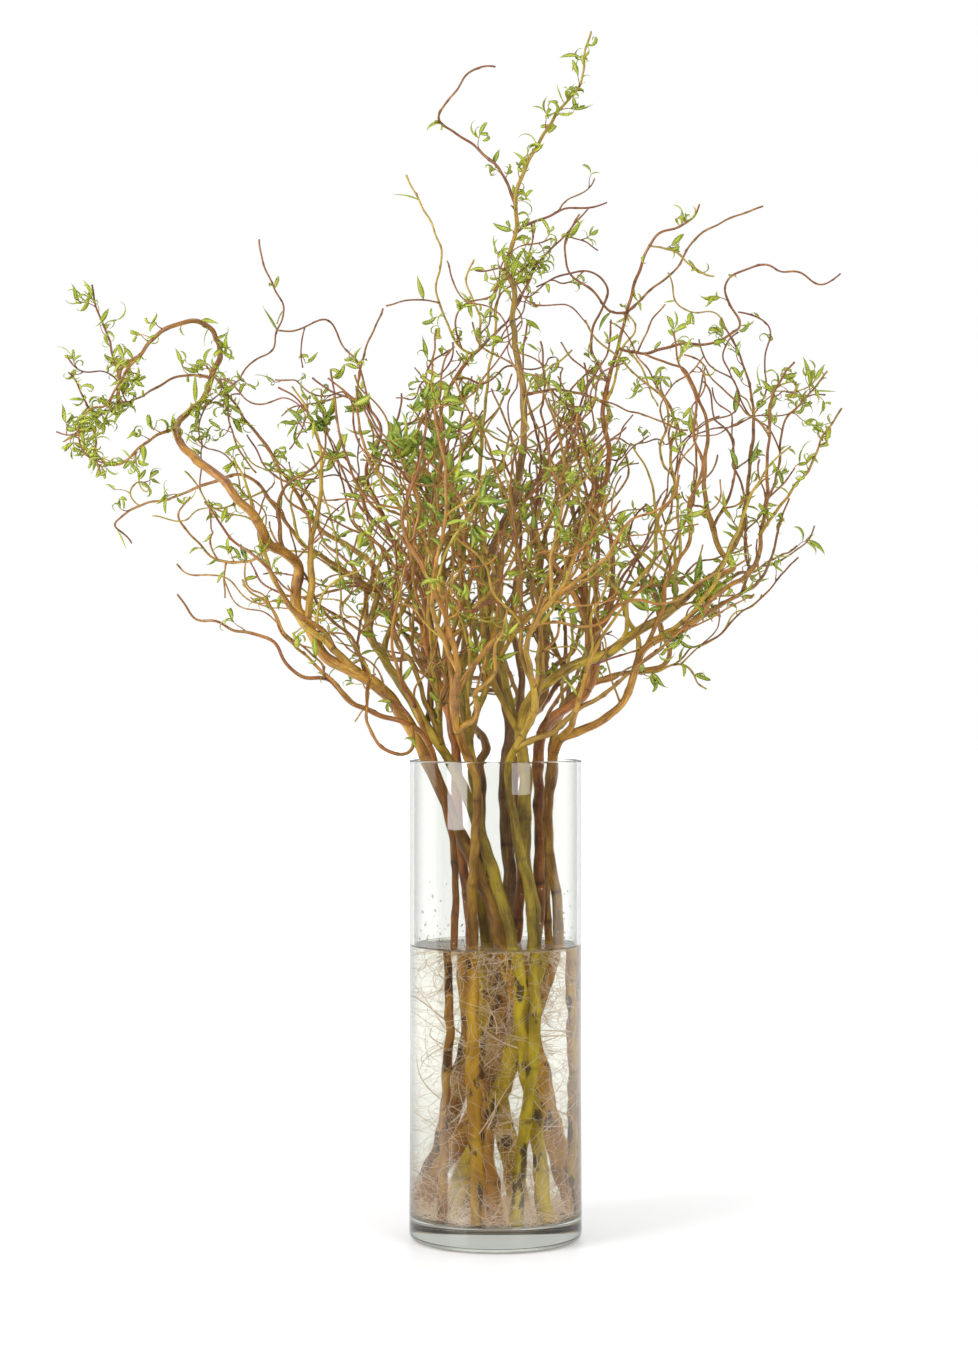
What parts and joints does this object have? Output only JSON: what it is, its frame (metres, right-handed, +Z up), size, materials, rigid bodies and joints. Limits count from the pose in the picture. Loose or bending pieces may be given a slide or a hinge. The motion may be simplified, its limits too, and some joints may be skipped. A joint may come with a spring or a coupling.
{
  "type": "curly willow stems in a glass vase",
  "caption": "Curly willow stems with narrow curled leaves and fine roots, standing in water in a tall clear glass cylinder vase.",
  "frame": {"origin": "middle of the vase's flat foot", "axes": "+Z up along the vase's axis; seen from the front, +X is to the right and +Y goes away from the viewer"},
  "size_m": [0.6749, 0.4561, 1.0538],
  "materials": {
    "glass": "gloss",
    "water": "gloss",
    "bark_golden": "satin",
    "bark_olive": "satin",
    "bark_brown": "satin",
    "bark_umber": "satin",
    "leaf": "satin",
    "roots": "matte"
  },
  "bodies": {
    "root": {"vase": "glass", "water": "water", "stem_arching_left": "bark_golden", "stem_olive_left": "bark_olive", "stem_low_left": "bark_brown", "stem_upper_left": "bark_brown", "stem_left_of_centre": "bark_olive", "stem_tall_centre": "bark_umber", "stem_thick_right": "bark_olive", "stem_upper_right": "bark_brown", "stem_low_right": "bark_golden", "stem_right_of_centre": "bark_golden", "stem_back_right": "bark_brown", "stem_back_left": "bark_umber", "stem_front_left": "bark_golden", "stem_front_right": "bark_olive"}
  },
  "joints": []
}
